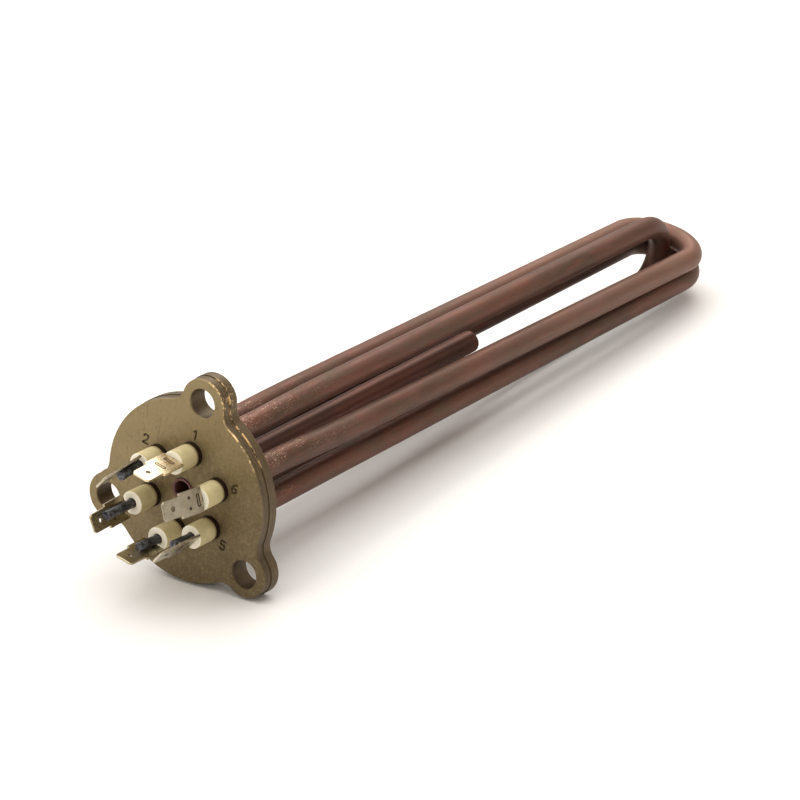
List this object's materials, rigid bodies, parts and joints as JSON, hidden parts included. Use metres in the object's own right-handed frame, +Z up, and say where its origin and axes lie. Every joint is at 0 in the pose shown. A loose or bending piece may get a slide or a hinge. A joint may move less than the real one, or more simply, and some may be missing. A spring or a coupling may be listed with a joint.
{
  "type": "immersion heating element",
  "caption": "Immersion heater: hairpin copper-sheathed loops and a thermostat pocket brazed into a lugged brass flange, with ceramic bushes and push-on tabs",
  "frame": {"origin": "centre of the bounding box's bottom, on the surface the element lies on", "axes": "+X runs from the terminals to the far end of the loops, +Z is up as the element lies on the flange's rim, one lug and the far end of the loops, +Y completes the right-handed frame"},
  "size_m": [0.3336, 0.0722, 0.072],
  "materials": {
    "flange_brass": "blasted, dull and tarnished to an olive brown",
    "braze_alloy": "dull cast solder",
    "pocket_copper": "copper tube oxidised brown in the furnace",
    "sheath_copper": "copper tube oxidised brown with mauve and pink patches",
    "magnesia": "packed powder, matt",
    "wound_coil": "wire coil packed in powder, matt",
    "pin_steel": "dark slate blue from the furnace",
    "bush_ceramic": "unglazed, cream",
    "tab_plated": "plated strip, satin",
    "seal_resin": "cast resin, matt"
  },
  "bodies": {
    "root": {"braze_1": "braze_alloy", "braze_2": "braze_alloy", "braze_3": "braze_alloy", "braze_4": "braze_alloy", "braze_5": "braze_alloy", "braze_6": "braze_alloy", "braze_pocket": "braze_alloy", "end_seal_1": "seal_resin", "end_seal_2": "seal_resin", "end_seal_3": "seal_resin", "end_seal_4": "seal_resin", "end_seal_5": "seal_resin", "end_seal_6": "seal_resin", "insulator_1": "bush_ceramic", "insulator_2": "bush_ceramic", "insulator_3": "bush_ceramic", "insulator_4": "bush_ceramic", "insulator_5": "bush_ceramic", "insulator_6": "bush_ceramic", "magnesia_1_4": "magnesia", "magnesia_2_6": "magnesia", "magnesia_3_5": "magnesia", "mounting_flange": "flange_brass", "resistance_coil_1_4": "wound_coil", "resistance_coil_2_6": "wound_coil", "resistance_coil_3_5": "wound_coil", "sheath_1_4": "sheath_copper", "sheath_2_6": "sheath_copper", "sheath_3_5": "sheath_copper", "terminal_pin_1": "pin_steel", "terminal_pin_2": "pin_steel", "terminal_pin_3": "pin_steel", "terminal_pin_4": "pin_steel", "terminal_pin_5": "pin_steel", "terminal_pin_6": "pin_steel", "terminal_tab_1": "tab_plated", "terminal_tab_2": "tab_plated", "terminal_tab_3": "tab_plated", "terminal_tab_4": "tab_plated", "terminal_tab_5": "tab_plated", "terminal_tab_6": "tab_plated", "thermostat_pocket": "pocket_copper"}
  },
  "joints": []
}
